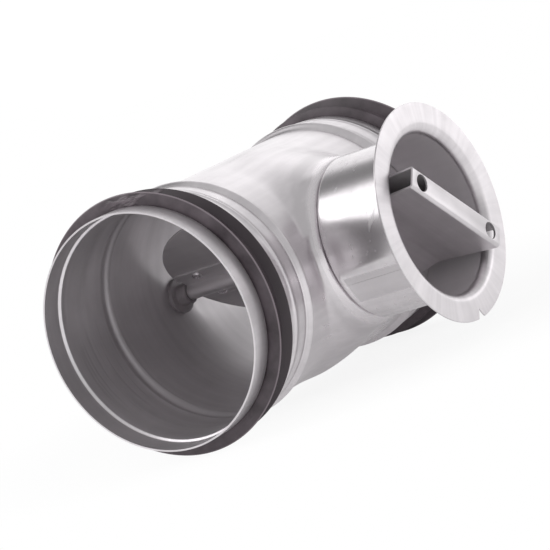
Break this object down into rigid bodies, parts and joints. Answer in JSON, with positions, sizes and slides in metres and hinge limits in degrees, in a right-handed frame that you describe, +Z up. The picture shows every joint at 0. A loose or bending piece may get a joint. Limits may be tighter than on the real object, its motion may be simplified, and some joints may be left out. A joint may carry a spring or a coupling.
{
  "type": "round volume control damper",
  "caption": "Round duct damper with rubber-lipped spigots, a disc blade on a cross shaft, and a folded handle in a drawn flanged cup.",
  "frame": {"origin": "middle of the rim at the -X end, on the duct axis", "axes": "+X along the duct, -Y out of the handle cup along the shaft, +Z up"},
  "size_m": [0.188, 0.1523, 0.1096],
  "materials": {
    "galvanised_sheet": "smooth galvanised sheet, softly reflective",
    "handle_steel": "galvanised sheet, brushed lengthwise",
    "gasket_rubber": "smooth EPDM rubber",
    "bush_plastic": "moulded grey nylon",
    "turned_steel": "bright drawn steel",
    "plated_fasteners": "zinc plated"
  },
  "bodies": {
    "casing": {"duct_body": "galvanised_sheet", "front_gasket": "gasket_rubber", "rear_gasket": "gasket_rubber", "handle_cup": "galvanised_sheet", "cup_rivets": "plated_fasteners", "main_bush": "bush_plastic", "bush_washer": "plated_fasteners", "bush_nut": "plated_fasteners", "far_bush": "bush_plastic", "far_bush_clip": "plated_fasteners"},
    "blade": {"blade_shaft": "turned_steel", "damper_blade": "galvanised_sheet", "shaft_strap": "galvanised_sheet", "strap_rivets": "plated_fasteners", "cone_washer": "plated_fasteners", "dial_hub": "turned_steel", "dial_plate": "galvanised_sheet", "handle": "handle_steel", "handle_rivets": "plated_fasteners", "lock_screws": "plated_fasteners", "lock_nuts": "plated_fasteners", "split_washer": "plated_fasteners", "shaft_nut": "plated_fasteners"}
  },
  "joints": [
    {"name": "blade_turn", "type": "hinge", "parent": "casing", "child": "blade", "pos_m": [0.094, 0, 0], "axis": [0, 1, 0], "range_deg": [-39.6, 50.4]}
  ]
}
